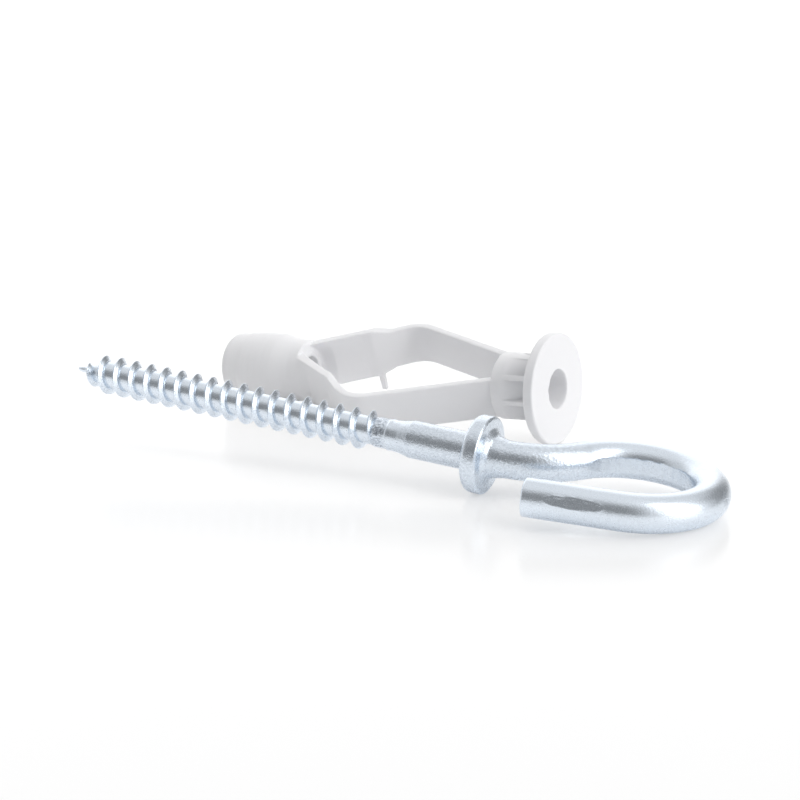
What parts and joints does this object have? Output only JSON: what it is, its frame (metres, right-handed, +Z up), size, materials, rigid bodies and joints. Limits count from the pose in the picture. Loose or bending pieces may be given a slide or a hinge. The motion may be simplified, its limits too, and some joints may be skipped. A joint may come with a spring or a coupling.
{
  "type": "hook anchor",
  "caption": "Zinc-plated screw hook with a formed collar and a coarse wood-screw thread, lying beside the plastic cavity anchor with two bulging arms that it is driven into.",
  "frame": {"origin": "middle of the pair's footprint on the surface that they lie on", "axes": "+X along the screw from its point to its hook, +Z up"},
  "size_m": [0.0852, 0.0502, 0.0142],
  "materials": {
    "zinc_plated_steel": "bright zinc plating over cold-formed steel wire, satin with a fine grain",
    "moulded_plastic": "injection-moulded natural white plastic, matt, slightly translucent"
  },
  "bodies": {
    "root": {"screw_hook": "zinc_plated_steel", "wall_anchor": "moulded_plastic"}
  },
  "joints": []
}
